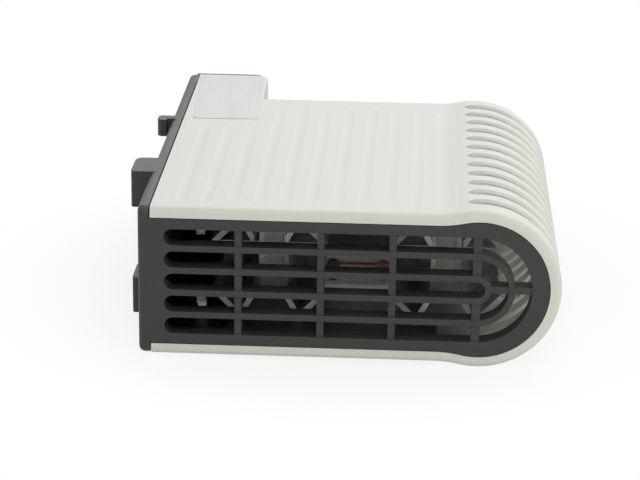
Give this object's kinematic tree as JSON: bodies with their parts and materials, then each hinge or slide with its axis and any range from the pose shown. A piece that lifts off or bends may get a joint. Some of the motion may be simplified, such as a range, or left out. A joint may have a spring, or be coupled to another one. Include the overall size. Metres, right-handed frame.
{
  "type": "enclosure heater",
  "caption": "Slim convection heater for an electrical enclosure: dark chassis with end grilles and rail hooks under a pale cover whose round front is slotted.",
  "frame": {"origin": "middle of the rail's seat: on the back plate's rail face, on the rail's centre line, at mid width", "axes": "+X from the rail face to the round front, +Y along the way the air takes, towards the terminal end, +Z across the width, up as the heater lies on its broad side"},
  "size_m": [0.1044, 0.121, 0.039],
  "materials": {
    "chassis_plastic": "fine spark-eroded texture, charcoal",
    "cover_plastic": "smooth satin, pale warm grey",
    "label_film": "satin silver-grey film, bare",
    "profile_metal": "extruded, mill finish",
    "insulating_film": "light grey film",
    "electrode_metal": "plain sheet",
    "tablet_ceramic": "fired grey ceramic",
    "cutout_case": "light grey moulding",
    "black_sleeve": "shrunk sleeve",
    "copper": "dull copper",
    "brown_lead": "brown insulation",
    "blue_lead": "blue insulation",
    "terminal_plastic": "cream moulding",
    "screw_steel": "plated"
  },
  "bodies": {
    "root": {"chassis": "chassis_plastic", "cover": "cover_plastic", "rating_label": "label_film", "rail_side_profile": "profile_metal", "front_profile": "profile_metal", "rail_side_film": "insulating_film", "front_film": "insulating_film", "rail_side_electrodes": "electrode_metal", "front_electrodes": "electrode_metal", "rail_side_tablets": "tablet_ceramic", "front_tablets": "tablet_ceramic", "cutout_case": "cutout_case", "cutout_sleeve": "black_sleeve", "cutout_eyelet": "copper", "cutout_link": "brown_lead", "terminal_block": "terminal_plastic", "terminal_clamps": "electrode_metal", "terminal_screws": "screw_steel", "supply_lead": "brown_lead", "switched_lead": "brown_lead", "return_lead": "blue_lead", "live_bridge": "brown_lead", "return_bridge": "blue_lead"}
  },
  "joints": []
}
